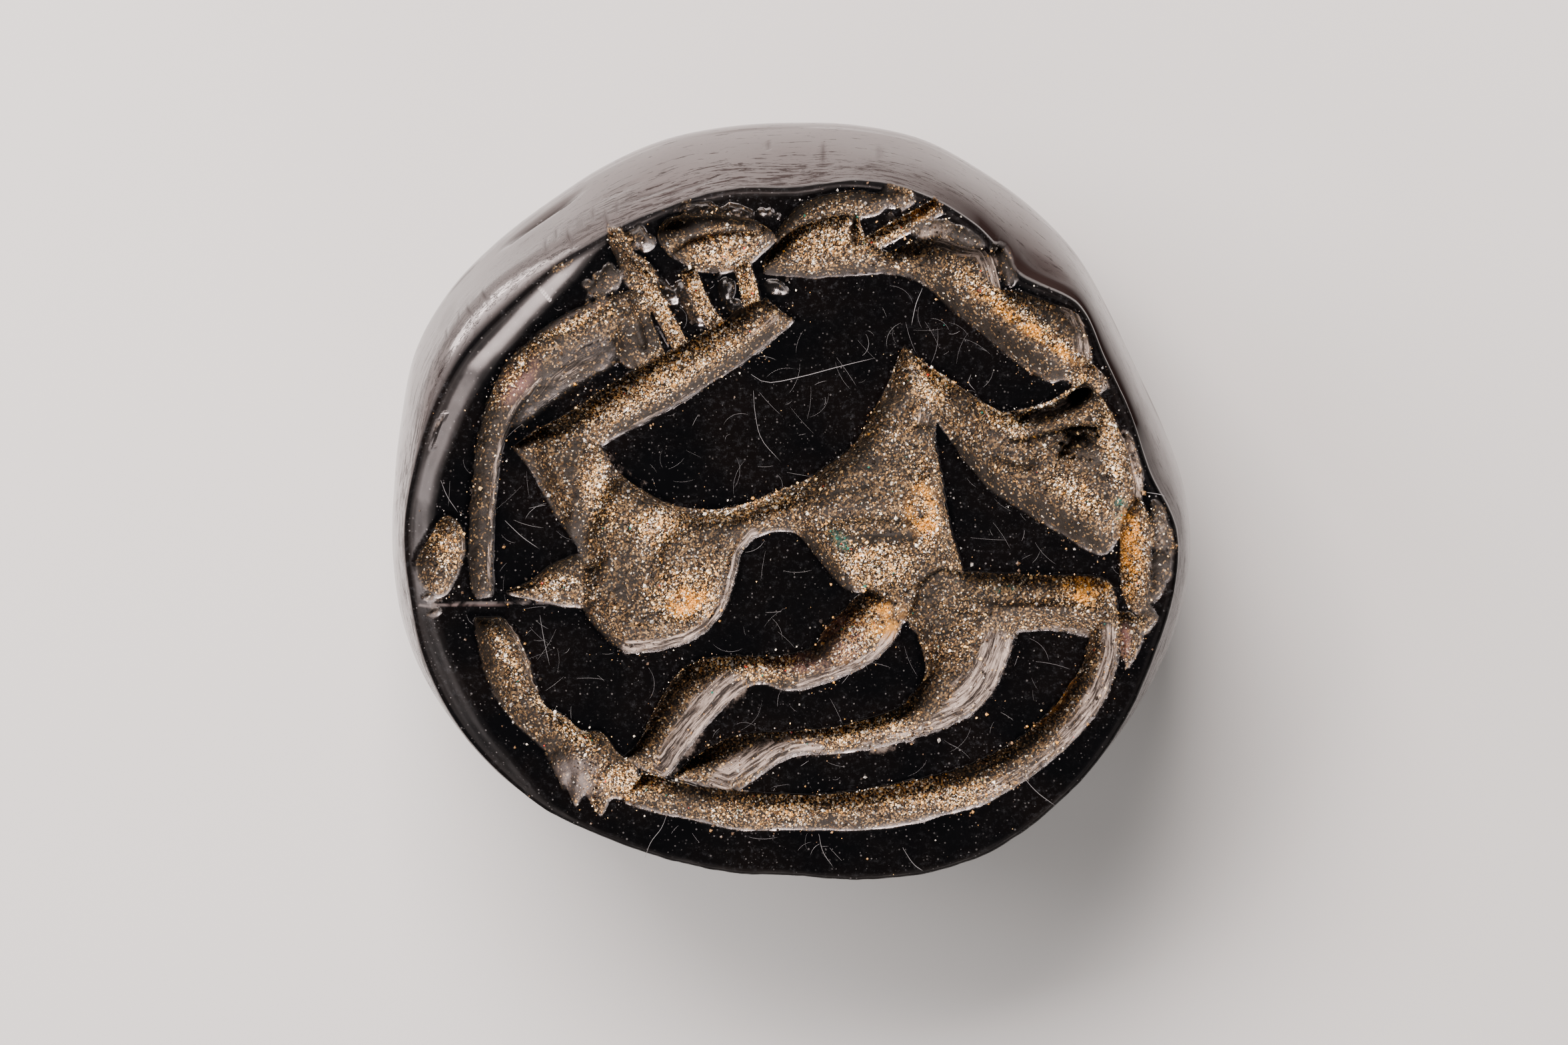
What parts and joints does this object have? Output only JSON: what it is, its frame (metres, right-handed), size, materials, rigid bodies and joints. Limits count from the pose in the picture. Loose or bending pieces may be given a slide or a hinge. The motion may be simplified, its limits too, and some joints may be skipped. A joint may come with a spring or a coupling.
{
  "type": "stamp seal",
  "caption": "Flat-faced pebble of polished black stone with a domed back, its face engraved with a long-limbed animal inside a ring of leaves, for pressing into clay.",
  "frame": {"origin": "middle of the stone's outline, on the table under the flat spot of its back", "axes": "+Z out of the engraved face, +Y towards the top of the engraving, +X towards its right"},
  "size_m": [0.019, 0.0182, 0.008],
  "materials": {
    "black_stone": "polished near-black stone, with fine scratches on the face and sandy buff dust in the cuts"
  },
  "bodies": {
    "root": {"seal_stone": "black_stone"}
  },
  "joints": []
}
